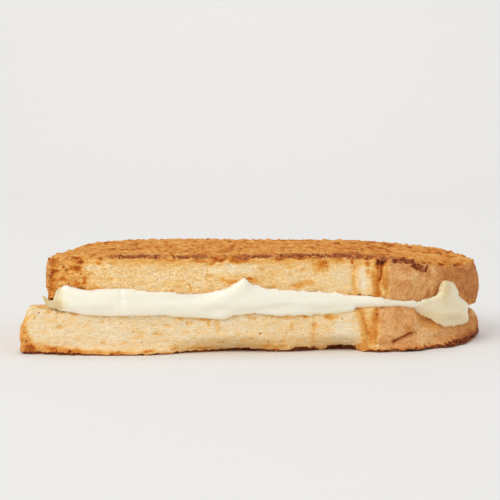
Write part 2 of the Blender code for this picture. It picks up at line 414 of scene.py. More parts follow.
def crumbs_tree():
    """Scatters loose bits of toast over two slices, more of them where they are called loose."""
    tree, given = new_geometry_tree(
        "Loose toast",
        (
            ("Upper slice", None, "NodeSocketObject"),
            ("Lower slice", None, "NodeSocketObject"),
            ("Bits per square metre", 250000.0, "NodeSocketFloat"),
            ("Smallest bit", 0.1 * MM, "NodeSocketFloat"),
            ("Largest bit", 0.26 * MM, "NodeSocketFloat"),
            ("Seed", 7, "NodeSocketInt"),
            ("Material", None, "NodeSocketMaterial"),
        ),
    )
    both = add(tree, "GeometryNodeJoinGeometry")
    for name in ("Upper slice", "Lower slice"):
        slice_mesh = add(tree, "GeometryNodeObjectInfo", Object=given[name])
        tree.links.new(slice_mesh.outputs["Geometry"], both.inputs[0])
    loose = add(
        tree, "GeometryNodeInputNamedAttribute", {"data_type": "FLOAT"}, Name="loose"
    ).outputs["Attribute"]
    density = add(
        tree, "ShaderNodeMath", {"operation": "MULTIPLY"},
        _0=loose, _1=given["Bits per square metre"],
    )
    spread = add(
        tree, "GeometryNodeDistributePointsOnFaces", {"distribute_method": "RANDOM"},
        Mesh=both.outputs[0], Density=density.outputs[0], Seed=given["Seed"],
    )
    bit = add(tree, "GeometryNodeMeshIcoSphere", Radius=1.0, Subdivisions=1)
    size = add(
        tree, "FunctionNodeRandomValue", {"data_type": "FLOAT"},
        _2=given["Smallest bit"], _3=given["Largest bit"], Seed=given["Seed"],
    )
    turn = add(
        tree, "FunctionNodeRandomValue", {"data_type": "FLOAT_VECTOR"},
        _0=(0.0, 0.0, 0.0), _1=(6.28, 6.28, 6.28), Seed=given["Seed"],
    )
    shape = add(
        tree, "FunctionNodeRandomValue", {"data_type": "FLOAT_VECTOR"},
        _0=(0.6, 0.6, 0.6), _1=(1.5, 1.1, 1.0), Seed=given["Seed"],
    )
    sized = add(
        tree, "ShaderNodeVectorMath", {"operation": "SCALE"},
        _0=shape.outputs[0], Scale=size.outputs[1],
    )
    bits = add(
        tree, "GeometryNodeInstanceOnPoints",
        Points=spread.outputs["Points"], Instance=bit.outputs["Mesh"],
        Rotation=turn.outputs[0], Scale=sized.outputs[0],
    )
    finish_geometry_tree(tree, bits.outputs[0], given["Material"])
    return tree


# ---------------------------------------------------------------- materials


def blank_material(name):
    """A material with no nodes yet, its tree and the piece's own coordinates."""
    material = bpy.data.materials.new(name)
    material.use_nodes = True
    tree = material.node_tree
    tree.nodes.clear()
    return material, tree, add(tree, "ShaderNodeTexCoord").outputs["Object"]


def told(tree, name):
    """What the mesh says under that name."""
    return add(tree, "ShaderNodeAttribute", {"attribute_name": name}).outputs["Fac"]


def grain(tree, place, size, detail=2.0, tilt=0.0):
    """Noise about 0, with grains of that size in mm along x, y and z, tilted from z towards x."""
    mapped = add(
        tree, "ShaderNodeMapping", {"vector_type": "TEXTURE"}, Vector=place,
        Rotation=(0.0, radians(tilt), 0.0), Scale=tuple(s * MM for s in size),
    )
    return add(
        tree, "ShaderNodeTexNoise", {"normalize": False}, Vector=mapped.outputs[0], Scale=1.0,
        Detail=detail,
    ).outputs[0]


def product(tree, first, second):
    return add(tree, "ShaderNodeMath", {"operation": "MULTIPLY"}, _0=first, _1=second).outputs[0]


def blended(tree, share, first, second, blend_type="MIX"):
    """The first colour, with that share of the second laid over it."""
    return add(
        tree, "ShaderNodeMix", {"data_type": "RGBA", "blend_type": blend_type},
        _0=share, _6=first, _7=second,
    ).outputs[2]


def picked(tree, amount, stops):
    """The colour that a range of colours has at that amount."""
    return add(tree, "ShaderNodeValToRGB", {"stops": stops}, Fac=amount).outputs[0]


def toasted_white_bread(colours):
    """White pan bread fried in butter: open, matte crumb that browns from cream to char.

    One number, the browning, picks the colour, as it does in the pan. The crust has its own,
    redder range. Butter soaks in and turns a place deep and golden, and what burnt is char.
    """
    material, tree, place = blank_material("toasted white bread")
    pit, torn, crust = (told(tree, name) for name in ("pit", "torn", "crust"))
    fried = told(tree, "fried")
    streaks = grain(tree, place, (2.4, 1.6, 0.8), 3.0)
    spots = grain(tree, place, (0.75, 0.75, 0.6), 2.0)
    pore_shade_weight = total(tree, 0.14, (torn, 0.1), (fried, 0.1))
    # painted shade: the pores and the fried faces' hollows are drawn browner and darker, more where the crumb
    # is torn or the face fried
    amount = total(
        tree, told(tree, "browning"), (streaks, 0.1), (spots, 0.06), (pit, pore_shade_weight)
    )
    crumb_colour = picked(tree, amount, colours["crumb"])

    hatch = grain(tree, place, (0.36, 0.6, 1.5), 3.0, 32.0)
    mottle = grain(tree, place, (3.2, 3.2, 2.4), 3.0)
    tone = total(tree, told(tree, "crust_tone"), (mottle, 0.2), (hatch, 0.05), (spots, 0.04))
    crust_colour = picked(tree, tone, colours["crust"])
    colour = blended(tree, crust, crumb_colour, crust_colour)
    colour = blended(tree, told(tree, "butter"), colour, colours["butter"], "MULTIPLY")

    # char; at the lower slice's right foot the same mark is also painted shade under the dome
    flakes = grain(tree, place, (0.6, 1.5, 0.5), 3.0)
    charred = total(tree, told(tree, "char"), (flakes, 0.3), (spots, 0.12))
    burnt = add(
        tree, "ShaderNodeMapRange", {"interpolation_type": "SMOOTHSTEP", "clamp": True},
        Value=charred, From_Min=0.3, From_Max=0.6,
    ).outputs["Result"]
    colour = blended(tree, burnt, colour, picked(tree, charred, colours["char"]))

    # fine, open grain as painted light and shade: its high places are painted paler, and its hollows painted
    # darker and deeper coloured
    speckle = grain(tree, place, (0.6, 0.5, 0.36), 2.0)
    clusters = grain(tree, place, (3.0, 2.0, 1.5), 1.0)
    coarse = total(tree, 0.14, (clusters, 0.14), (torn, 0.26), (crust, 0.04))
    fibre_shade = product(tree, grain(tree, place, (1.7, 1.0, 0.5), 2.0), total(tree, 0.05, (torn, 0.1)))
    light = total(tree, fibre_shade, (speckle, coarse), (product(tree, hatch, crust), 0.3))
    lighter = add(
        tree, "ShaderNodeVectorMath", {"operation": "SCALE"}, _0=(1.0, 1.25, 1.8), Scale=light
    )
    lightened = add(
        tree, "ShaderNodeVectorMath", {"operation": "ADD"}, _0=lighter.outputs[0], _1=(1, 1, 1)
    )
    colour = add(
        tree, "ShaderNodeVectorMath", {"operation": "MULTIPLY"}, _0=colour, _1=lightened.outputs[0]
    )
    bump = add(tree, "ShaderNodeBump", Strength=0.6, Distance=0.1 * MM, Height=speckle)
    shader = add(
        tree, "ShaderNodeBsdfPrincipled", Base_Color=colour.outputs[0], IOR=1.45,
        Roughness=total(tree, 0.85, (told(tree, "butter"), -0.25)),
        Specular_IOR_Level=0.12, Normal=bump.outputs[0],
    )
    add(tree, "ShaderNodeOutputMaterial", Surface=shader.outputs[0])
    return material


def loose_toast(colours):
    """Loose bits of fried crumb, from pale to burnt, each bit one colour."""
    material, tree, place = blank_material("loose toast")
    tint = grain(tree, place, (0.7, 0.7, 0.7), 0.0)
    colour = picked(tree, total(tree, 0.58, (tint, 0.6)), colours["crumb"])
    shader = add(
        tree, "ShaderNodeBsdfPrincipled", Base_Color=colour, Roughness=0.85, IOR=1.45,
        Specular_IOR_Level=0.12,
    )
    add(tree, "ShaderNodeOutputMaterial", Surface=shader.outputs[0])
    return material


def melted_mozzarella(colours):
    """Melted mozzarella, set again: milky, so light spreads inside it, with a wet, smooth skin."""
    material, tree, place = blank_material("melted mozzarella")
    cloud = grain(tree, place, (4.0, 4.0, 3.0), 3.0)
    amount = total(tree, told(tree, "yellowing"), (cloud, 0.06))
    colour = picked(tree, amount, colours["cheese"])
    ripple = grain(tree, place, (1.5, 1.5, 1.5), 2.0)
    bump = add(tree, "ShaderNodeBump", Strength=0.25, Distance=0.1 * MM, Height=ripple)
    shader = add(
        tree, "ShaderNodeBsdfPrincipled", Base_Color=colour, IOR=1.44,
        Roughness=total(tree, 0.32, (ripple, 0.05)), Normal=bump.outputs[0],
        Coat_Weight=0.25, Coat_Roughness=0.12,
        Subsurface_Weight=total(tree, 0.5, (told(tree, "yellowing"), -0.5)),
        Subsurface_Radius=(1.0, 0.8, 0.5), Subsurface_Scale=1.5 * MM,
    )
    add(tree, "ShaderNodeOutputMaterial", Surface=shader.outputs[0])
    return material


COLOURS = {
    # how brown the crumb is: from untoasted, through golden and orange, to nearly burnt
    "crumb": (
        (0.0, "#f5e4c2"),
        (0.2, "#f6cf91"),
        (0.4, "#ecb262"),
        (0.6, "#d48232"),
        (0.75, "#b05a22"),
        (0.88, "#79371c"),
        (1.0, "#43201a"),
    ),
    "crust": ((0.0, "#eebb80"), (0.35, "#dc9a5b"), (0.65, "#be753c"), (1.0, "#7e4425")),
    "char": ((0.4, "#c47e50"), (0.6, "#a85e34"), (0.8, "#843f1a"), (1.0, "#4e220e")),
    "butter": linear("#fbe6b4"),
    "cheese": ((0.0, "#fff8e8"), (0.5, "#f4e5bd"), (1.0, "#dcbd80")),
}


# ---------------------------------------------------------------- bread

# Places on the cut, (x, z) in millimetres: centre, half sizes, tilt in degrees, how much browner
# than the crumb round it (a negative number is paler), and how much butter soaked in there.
UPPER_PATCHES = (
    ((-52.8, 23.4), (0.3, 0.3), 0, 0.4, 0.0),
    ((-49.6, 23.0), (1.4, 0.8), -10, 0.28, 0.5),
    ((-55.4, 21.5), (0.5, 1.2), 0, 0.15, 0.0),
    ((-52.6, 20.2), (0.9, 0.7), 0, 0.16, 0.3),
    ((-51.5, 21.6), (1.4, 0.25), 15, 0.16, 0.0),
    ((-48.5, 21.4), (0.4, 0.35), 0, 0.25, 0.0),
    ((-47.5, 19.6), (0.7, 1.1), -15, 0.3, 0.7),
    ((-46.3, 21.6), (1.2, 0.25), 15, 0.16, 0.0),
    ((-49.5, 18.8), (1.2, 0.9), 0, 0.18, 0.8),
    ((-44.3, 17.9), (1.2, 0.6), 0, 0.12, 0.4),
    ((-46.0, 23.3), (1.6, 0.9), 0, -0.16, 0.0),
    ((-43.3, 24.4), (0.8, 0.45), 0, 0.3, 0.7),
    ((-42.0, 22.8), (0.7, 0.4), 0, 0.25, 0.4),
    ((-24.2, 16.7), (0.5, 0.6), 0, 0.25, 0.4),
    ((-19.7, 18.2), (0.5, 1.0), 10, 0.18, 0.6),
    ((-19.5, 17.2), (1.2, 0.5), 0, 0.1, 0.3),
    ((-15.3, 17.0), (1.2, 0.5), 0, 0.08, 0.2),
    ((-24.0, 19.1), (4.0, 0.7), 4, 0.06, 0.35),
    ((-11.0, 20.0), (1.6, 0.5), -22, 0.16, 0.7),
    ((-8.0, 19.4), (2.2, 0.8), 6, 0.19, 0.8),
    ((-3.0, 19.7), (1.9, 0.7), -8, 0.19, 0.8),
    ((-7.0, 22.6), (7.0, 1.2), 0, -0.08, 0.0),
    ((-17.0, 25.0), (3.0, 0.6), 0, 0.22, 0.0),
    ((-10.8, 25.5), (2.8, 0.8), 0, 0.42, 0.0),
    ((-6.0, 24.8), (3.0, 0.7), 0, 0.28, 0.0),
    ((4.5, 25.4), (1.6, 0.4), 0, 0.34, 0.0),
    ((10.0, 25.3), (2.0, 0.4), 0, 0.24, 0.0),
    ((20.0, 25.1), (2.2, 0.5), 0, 0.22, 0.0),
    ((6.9, 22.9), (0.9, 0.35), 0, 0.16, 0.3),
    ((15.3, 23.3), (2.2, 1.5), 20, 0.28, 0.9),
    ((12.4, 18.9), (1.3, 1.0), 0, 0.2, 0.5),
    ((9.8, 18.2), (1.6, 0.9), 10, 0.22, 0.5),
    ((20.6, 20.2), (2.8, 3.0), 0, -0.05, 0.0),
    ((26.6, 19.8), (1.2, 3.8), 0, -0.12, 0.0),
    ((29.6, 19.5), (0.6, 4.0), 0, 0.24, 0.3),
    ((23.9, 24.3), (0.5, 0.9), 0, 0.34, 0.0),
    ((27.6, 23.8), (0.9, 0.9), 0, 0.3, 0.0),
    ((28.1, 21.8), (0.5, 1.3), 0, 0.1, 0.2),
    ((31.8, 23.9), (1.3, 0.9), 0, 0.45, 0.0),
    ((32.9, 19.2), (1.1, 3.8), 0, 0.32, 0.0),
)
# Tears and soaked seams on the cut: their path, width, browning and depth
UPPER_SEAMS = (
    (((-11.3, 25.7), (-12.6, 24.9), (-13.8, 24.1)), 0.8, 0.5, 0.2),
    (((-14.9, 24.4), (-14.7, 21.8)), 0.25, 0.42, 0.2),
    (((24.2, 22.6), (24.1, 20.5), (24.5, 16.6)), 0.8, 0.4, 0.3),
    (((30.9, 23.0), (30.8, 19.0), (30.9, 15.2)), 1.4, 0.62, 0.4),
    (((30.9, 24.9), (30.9, 23.6)), 0.6, 0.8, 0.3),
    (((32.6, 24.7), (32.1, 23.0), (31.9, 20.3), (31.4, 19.0)), 0.55, 0.8, 0.5),
)
LOWER_PATCHES = (
    ((-60.5, 10.0), (0.35, 0.8), 10, 0.2, 0.6),
    ((-62.8, 5.8), (0.3, 0.35), 0, 0.35, 0.0),
    ((-63.0, 3.5), (0.3, 0.3), 0, 0.35, 0.0),
    ((-59.5, 1.6), (4.6, 1.4), 0, 0.28, 0.0),
    ((-53.0, 1.0), (5.0, 1.1), -4, 0.36, 0.0),
    ((-44.0, 0.6), (6.0, 0.8), 0, 0.22, 0.0),
    ((-54.7, 0.9), (0.4, 0.3), 0, 0.4, 0.0),
    ((-51.4, 1.1), (0.4, 0.3), 0, 0.4, 0.0),
    ((-49.8, 10.4), (1.1, 0.4), 0, 0.3, 0.4),
    ((-43.0, 10.0), (5.0, 0.22), 0, 0.22, 0.2),
    ((-37.2, 3.2), (1.3, 0.4), 10, 0.14, 0.4),
    ((-41.0, 5.8), (5.5, 1.9), -6, -0.05, 0.0),
    ((-33.6, 5.0), (2.0, 1.6), 30, 0.06, 0.1),
    ((-37.5, 0.6), (3.6, 0.5), 0, 0.24, 0.0),
    ((-30.8, 0.9), (1.8, 0.5), 0, 0.32, 0.0),
    ((-23.2, 1.8), (1.8, 0.7), 0, 0.22, 0.0),
    ((-17.0, 1.4), (4.0, 0.5), 0, 0.18, 0.3),
    ((2.0, 1.7), (4.0, 0.8), 0, 0.2, 0.0),
    ((-27.0, 5.8), (1.4, 0.3), 40, 0.08, 0.4),
    ((-22.3, 9.3), (1.2, 0.5), 0, 0.2, 0.5),
    ((-15.6, 9.0), (1.8, 0.6), 0, 0.38, 0.2),
    ((-14.2, 7.9), (0.6, 0.5), 0, 0.26, 0.2),
    ((-3.5, 10.2), (2.0, 0.35), 0, 0.2, 0.3),
    ((5.5, 9.5), (4.4, 0.4), 0, 0.16, 0.4),
    ((11.2, 9.5), (1.1, 0.45), 0, 0.32, 0.4),
    ((14.8, 10.2), (1.8, 0.2), 5, 0.25, 0.2),
    ((18.3, 9.3), (1.7, 0.55), 0, 0.26, 0.8),
    ((7.5, 7.2), (0.35, 1.8), 0, 0.08, 0.5),
    ((13.5, 6.0), (0.6, 3.0), 0, 0.1, 0.4),
    ((21.8, 5.6), (2.9, 3.6), 0, -0.14, 0.0),
    ((2.0, 6.5), (1.4, 1.2), 0, -0.06, 0.0),
    ((26.4, 1.3), (1.2, 1.2), 0, 0.22, 0.0),
    ((29.6, 2.2), (1.4, 1.6), 0, 0.26, 0.0),
    ((28.7, 7.5), (1.1, 4.0), 0, 0.14, 0.4),
)
LOWER_SEAMS = (
    (((-12.3, 8.6), (-12.1, 7.4), (-11.9, 6.2)), 0.9, 0.36, 0.2),
    (((-0.8, 5.3), (-0.6, 5.3)), 0.3, 1.0, 0.2),
    (((26.0, 12.0), (26.5, 9.5), (27.3, 6.5), (27.7, 4.0), (27.6, 1.5)), 1.9, 0.52, 0.4),
    (((26.9, 9.5), (27.4, 7.4), (28.2, 5.0), (28.6, 3.2)), 0.4, 0.66, 0.3),
    (((28.2, 5.0), (30.0, 3.3), (30.5, 2.0)), 0.4, 0.7, 0.3),
    (((30.7, 11.6), (30.6, 9.4), (30.0, 7.0), (29.8, 4.0)), 1.8, 0.63, 0.3),
)
# The cut's foot at the floor: (x, how far it stands forward of the cut, or under it if negative)
FOOT = (
    (-64, 0.3), (-58, 0.9), (-54.8, 1.7), (-51, 2.6), (-47, 2.3), (-42, 2.6), (-30, 2.3),
    (-28, 1.7), (-25, 0.5), (-22, -1.0), (-19, -2.0), (-16, -3.2), (-12, -4.5), (-7, -5.3),
    (-2, -4.0), (1, -2.6), (6.5, -1.6), (10, -2.4), (14, -3.2), (17, -4.3), (20.5, -5.3),
    (24, -4.4), (25.6, -2.6), (27.2, 0.7), (30, 1.3), (34, 2.0), (42, 2.2), (64, 1.6),
)
FOOT_CHAR_AND_SHADE = (  # (x, how high up the foot is burnt; from x 47 on it also stands for painted shade under the dome's foot)
    (-64, 0.75), (-50, 0.65), (-45, 0.45), (-40, 0.3), (-34, 0.25), (-32, 0.35), (-25, 0.3),
    (-20, 0.4), (-12, 0.6), (-9, 0.9), (-4, 1.0), (-2, 0.8), (1, 0.6), (2.5, 0.35), (5, 0.5),
    (8, 0.6), (8.6, 1.3), (11.5, 1.3), (12.4, 0.9), (14.8, 0.8), (15.2, 0.1), (16.8, 0.1),
    (17.5, 1.3), (25.0, 1.4), (25.5, 0.1), (27.5, 0.2), (29.5, 0.6), (31, 0.9), (42, 0.8), (47, 1.0), (53, 1.7),
    (60, 1.8),
)
CHAR_LINE = (  # (x, how burnt the upper front edge is)
    (-44, 0.0), (-42, 0.6), (-40, 0.6), (-39, 1.0), (-37.5, 0.75), (-36.5, 1.0), (-31.5, 1.0),
    (-30.3, 0.65), (-28.5, 1.0), (-27, 0.65), (-23.2, 0.7), (-22.5, 1.1), (-21, 1.0),
    (-19.8, 0.65), (-18, 1.0), (-16.5, 1.0), (-15, 0.55), (-7, 0.6), (-6, 0.95), (0, 0.9),
    (2, 0.6), (4, 0.95), (10, 0.95), (12, 0.75), (13.5, 1.3), (16, 1.3), (17, 0.85), (19, 0.8),
    (20, 1.25), (25, 1.3), (26.6, 0.5), (27.8, 1.2), (29, 0.6), (35, 0.7), (37, 0.3), (40, 0.0),
)
SCORCHED_STRIP = (
    ((35.0, 24.4), (38.0, 24.2), (40.6, 23.8)), ((40.6, 23.2), (42.2, 22.2), (44.8, 21.9)),
)
DROP_GREASE = ((40.3, 11.5), (42.2, 9.6), (44.4, 8.0), (46.6, 6.4), (48.5, 5.9))
SCORCHED_EDGE = ((35.6, 25.6), (44.6, 25.4))
RIGHT_SPECKS = ((46.6, 25.0), (48.8, 24.5), (50.8, 24.7), (53.0, 24.2))
UPPER_CRUST_START, LOWER_CRUST_START = 33.8, 31.2
UPPER_RIM = ((-54, 25.6), (-40, 26.0), (20, 25.9), (36, 25.0), (50, 23.6), (65, 22.6))
LOWER_RIM = (  # (x, height) along the lower slice's upper edge at the cut
    (-62, 12.6), (-54, 11.4), (-46, 10.6), (-26, 10.4), (-14, 9.8), (-1, 10.8),
    (10, 10.6), (22, 11.6), (34, 12.1), (46, 10.0), (56, 8.5),
)


def wall_share(facing):
    """1 on a wall, 0 on a flat face."""
    return smoothstep(0.75, 0.45, np.abs(facing[:, 2]))


def crust_share(points, facing, left, start):
    """1 on the baked crust, 0 on the cut and on the two faces."""
    x, d, _ = points.T
    end = start + 0.5 * cloudy(points, 2.5, 5) + 0.3 * cloudy(points, 0.9, 4)
    dome = smoothstep(end - 0.35, end + 0.35, x)
    behind = smoothstep(6, 8, d)
    flat = smoothstep(left + 2.0, left + 1.2, x + 0.4 * cloudy(points, 1.5, 6))
    return wall_share(facing) * np.maximum(np.maximum(dome, behind), flat)


def cut_share(points, facing, start):
    """1 on the cut."""
    x, d, _ = points.T
    return wall_share(facing) * smoothstep(6.5, 5.0, d) * smoothstep(start + 1, start, x)


def cut_fields(points, patches, seams, seed):
    """How brown and how buttery the open crumb of a cut is, before any toasting."""
    x, _, z = points.T
    drift = layered(points, (9, 6, 4), seed)
    fibres = layered(points, (3.4, 1.5, 0.9), seed + 3)
    brown = 0.19 + 0.05 * drift + 0.045 * fibres
    butter = np.zeros(len(points))
    wobble_x = x + 0.45 * cloudy(points, 1.6, seed + 8) + 0.25 * cloudy(points, 0.7, seed + 1)
    wobble_z = z + 0.3 * cloudy(points, 1.4, seed + 9) + 0.2 * cloudy(points, 0.6, seed + 2)
    ragged = layered(points, (1.6, 1.0, 0.6), seed + 12)
    for centre, half, tilt, much, oily in patches:
        share = patch(wobble_x, wobble_z, centre, half, tilt, 0.9)
        share *= smoothstep(0.1, 0.75, share + 0.5 * ragged)
        brown += 1.15 * much * share
        butter = np.maximum(butter, oily * share)
    for path, width, much, _ in seams:
        seam = stroke(wobble_x * 0.7 + x * 0.3, wobble_z, path, width, 0.8)
        seam *= smoothstep(0.0, 0.6, seam + 0.45 * ragged)
        brown += seam * (much + 0.05 * fibres - brown)
    return brown, butter


def fried_browning(points, seed):
    """How brown a fried face is: golden, darker where it touched the pan, pale in its pores."""
    broad = layered(points, (14, 10, 10), seed)
    spots = layered(points, (3.6, 4.5, 3.2), seed + 7)
    specks = layered(points, (1.3, 3.0, 1.3), seed + 17)
    dark = smoothstep(0.2, 0.8, spots + 0.5 * specks)
    richer = 0.04 * smoothstep(5, 25, points[:, 0]) * smoothstep(45, 35, points[:, 0])
    return 0.5 + richer + 0.07 * broad + 0.07 * spots + 0.08 * specks + 0.13 * dark


def upper_fields(points, facing):
    """How the upper slice looks from place to place."""
    x, d, z = points.T
    below = curve(UPPER_RIM, x) - z
    cut = cut_share(points, facing, UPPER_CRUST_START)
    wavy = layered(points, (5, 3, 2.2), 21)
    fine = layered(points, (1.5, 1.0, 0.8), 31)
    specks = layered(points, (0.8, 2.4, 0.6), 41)
    brown, butter = cut_fields(points, UPPER_PATCHES, UPPER_SEAMS, 60)
    toasted = smoothstep(-42.5, -48.5, x + 2.5 * wavy + 0.2 * (z - 20))
    brown += toasted * (0.22 + 0.07 * fine) + 0.2 * smoothstep(-53.4, -55.4, x + 0.4 * fine)
    seared = smoothstep(2.9, 0.6, below + 0.7 * wavy + 0.4 * fine)
    brown += 0.23 * seared * (1 + 0.4 * fine) * smoothstep(-52, -44, x)
    brown += 0.12 * smoothstep(1.8, 0.4, below) * smoothstep(-44, -52, x)
    brown = brown * cut + fried_browning(points, 50) * (1 - cut)
    burnt = curve(CHAR_LINE, x)
    behind = d - front_line(x)
    edge = smoothstep(0.9 + 0.6 * smoothstep(0.9, 1.2, burnt), 0.1, below + 0.35 * specks)
    edge *= smoothstep(10.0, 4.0, behind + 3.0 * specks)
    char = edge * (np.minimum(0.77 * burnt, 0.64) + 0.25 * specks)
    crust = crust_share(points, facing, UPPER_BOX[0][0], UPPER_CRUST_START)
    near = smoothstep(20, 10, d)
    strip = np.maximum(
        *(stroke(x, z + 0.35 * fine, path, wide, 0.5) for path, wide in zip(SCORCHED_STRIP, (1.3, 1.8)))
    )
    edge_line = stroke(x, z + 0.2 * fine, SCORCHED_EDGE, 0.7, 0.6)
    dots = stroke(x, z + 0.25 * specks, RIGHT_SPECKS, 0.6, 0.5) * (0.5 + 0.5 * specks)
    strip *= 0.74 + 0.3 * specks
    char = np.maximum(char, near * np.maximum(np.maximum(strip, 0.55 * edge_line), dots))
    char = np.maximum(char, 0.85 * patch(x, z, (27.8, 25.3), (0.55, 0.5), 0, 0.4) * cut)
    tone = 0.22 + 0.35 * smoothstep(38, 60, x) + 0.1 * wavy + 0.05 * fine
    tone += 0.1 * smoothstep(20, 14, z) * smoothstep(44, 34, x)
    tone += 0.14 * smoothstep(-54, -56, x) + 0.25 * smoothstep(1.6, 0.5, below)
    between = patch(x, z, (40.6, 24.5), (3.8, 1.2), 0, 0.5)
    tone += 0.2 * between - 0.1 * stroke(x, z, ((47.5, 22.5), (47.2, 15)), 2.6)
    rims = smoothstep(0.2, 0.5, facing[:, 2]) * smoothstep(0.95, 0.7, facing[:, 2])
    return {
        "crumb": cut,
        "crust": crust,
        "fried": (1 - cut) * (1 - crust),
        "torn": np.clip(0.2 + 0.25 * smoothstep(10, -15, x) + 0.7 * toasted, 0, 1) * cut,
        "browning": np.clip(brown, 0, 1),
        "crust_tone": np.clip(tone, 0, 1),
        "butter": butter * cut,
        "char": np.clip(char, 0, 1),
        "loose": (d < 12) * (
            0.4 * rims + 0.35 * toasted * cut
            + 1.2 * patch(x, z, (55.5, 24.3), (5.0, 0.7))
            + 0.8 * patch(x, z, (38.5, 14.6), (3.0, 1.0)) * cut_share(points, facing, 45)
        ),
    }


def lower_fields(points, facing):
    """How the lower slice looks from place to place."""
    x, d, z = points.T
    cut = cut_share(points, facing, LOWER_CRUST_START)
    wavy = layered(points, (5, 3, 2.2), 121)
    fine = layered(points, (1.5, 1.0, 0.8), 131)
    specks = layered(points, (0.8, 1.0, 0.6), 141)
    brown, butter = cut_fields(points, LOWER_PATCHES, LOWER_SEAMS, 160)
    brown -= 0.065 + 0.03 * smoothstep(5, -10, x)
    foot = smoothstep(2.2, 0.6, z + 0.5 * wavy + 0.3 * fine)
    brown += foot * (0.1 + 0.05 * fine)
    brown += 0.07 * smoothstep(5.5, 1.5, z) * smoothstep(-26, -18, x) * smoothstep(25, 19, x)
    left = smoothstep(-61.2, -62.7, x + 0.4 * wavy + 0.4 * fine - 0.16 * (8 - z))
    brown += left * (0.34 + 0.08 * fine)
    brown = brown * cut + fried_browning(points, 150) * (1 - cut)
    # the foot's char, which from x 47 on is also painted shade under the dome's rounded foot
    top = curve(FOOT_CHAR_AND_SHADE, x)
    char = 0.86 * smoothstep(top + 0.25, top - 0.15, z + 0.12 * fine + 0.08 * specks)
    char *= smoothstep(-0.98, -0.8, facing[:, 2]) * (0.7 + 0.3 * smoothstep(45, 30, d))
    crust = crust_share(points, facing, LOWER_BOX[0][0] - 3, LOWER_CRUST_START)
    inner = smoothstep(-0.1, 0.2, facing[:, 2]) * (1 - cut)
    brown = brown * (1 - inner) + inner * (0.16 + 0.05 * wavy + 0.04 * fine)
    tone = 0.14 + 0.32 * smoothstep(48, 62, x) + 0.1 * wavy + 0.05 * fine
    # darker near the floor at the dome: partly the crust's own darker underside, partly painted shade under its
    # rounded foot
    tone += 0.4 * smoothstep(2.0, 0.6, z) * smoothstep(32, 38, x)
    right = smoothstep(40.2, 41.2, x + 0.12 * (z - 8) + 0.3 * fine) * smoothstep(50, 45, x)
    tone += 0.1 * smoothstep(41, 40, x) - 0.34 * right
    tone += 0.25 * patch(x, z, (43.5, 1.8), (6.0, 1.6), 10, 0.4)
    tone -= 0.25 * patch(x, z, (33.6, 7.0), (1.0, 2.0), 20, 0.6)
    greasy = stroke(x, z + 0.3 * fine, DROP_GREASE, 2.4, 0.5)
    tone -= 0.2 * greasy
    # painted shade: a dark line along the crevice
    tone += 0.7 * stroke(x, z + 0.2 * fine, CREVICE, 0.4)
    # darker still low on the right end: partly the crust's own darker underside, partly painted shade where it
    # curls under to the floor
    tone += 0.4 * smoothstep(3.2, 0.8, z - 0.06 * (x - 50)) * smoothstep(46, 54, x)
    return {
        "crumb": cut,
        "crust": crust,
        "fried": (1 - cut) * (1 - crust) * 0.8,
        "torn": left * 0.6 * cut,
        "browning": np.clip(brown, 0, 1),
        "crust_tone": np.clip(tone, 0, 1),
        "butter": butter * cut + 0.9 * crust * greasy,
        "char": np.clip(char, 0, 1),
        "loose": (d < 8) * cut * 0.05 + (d < 8) * 0.5 * patch(x, z, (34.6, 11.5), (2.5, 0.8)),
    }


CREVICE = ((35.4, 2.6), (38.8, 4.0), (40.6, 4.7), (41.6, 4.6))


UPPER_CORNER = (  # (z, how far left the left corner moves)
    (14, 1.3), (16, 0.9), (17.5, 0.7), (19, 0.6), (21, 0.5), (23, 0.3), (25, 0.0),
)
UPPER_FOOT = ((12, 16.6), (19, 16.0), (25, 15.2), (32, 14.6), (38, 13.8), (46, 13.0))


def rim_chips(points, facing):
    """Small, ragged steps along a slice's edges."""
    rim = smoothstep(0.15, 0.4, np.abs(facing[:, 2])) * smoothstep(0.97, 0.8, np.abs(facing[:, 2]))
    return 0.35 * rim * (cloudy(points, 1.3, 91) + 0.7 * cloudy(points, 0.7, 92))


def shape_upper(points, facing):
    """The upper slice's own unevenness: its torn seams, full left corner and creased crust."""
    x, d, z = points.T
    cut = cut_share(points, facing, UPPER_CRUST_START)
    wall = wall_share(facing)
    depth = cut * 0.25 * layered(points, (7, 5, 4), 71) - rim_chips(points, facing)
    for path, width, _, deep in UPPER_SEAMS:
        depth += cut * deep * stroke(x, z, path, width + 0.3)
    depth += wall * 0.7 * stroke(x, z, ((45.8, 21.5), (45.4, 18.0), (45.6, 14.4)), 1.0)
    depth -= wall * 0.35 * patch(x, z, (39.0, 18.0), (5.0, 3.5), 0, 0.8)
    depth += wall * smoothstep(30, 38, x) * 0.25 * layered(points, (5, 4, 4), 73)
    for path in SCORCHED_STRIP:
        depth -= wall * 0.4 * stroke(x, z, path, 1.5, 0.6)
    depth += wall * 0.5 * stroke(x, z, ((37.5, 25.0), (43.5, 24.2)), 0.8)
    depth -= wall * 0.4 * stroke(x, z, ((53.0, 24.9), (56.2, 24.7)), 1.0)
    points -= depth[:, None] * facing
    corner = smoothstep(-52, -55, x) * smoothstep(20, 12, d)
    points[:, 0] -= corner * curve(UPPER_CORNER, z)
    # the cut's lower edge sags onto the cheese at the right
    sag = smoothstep(14, 18, x) * smoothstep(46, 40, x) * smoothstep(14, 8, d)
    points[:, 2] -= 1.1 * sag * smoothstep(4.0, 0.8, z - curve(UPPER_FOOT, x))


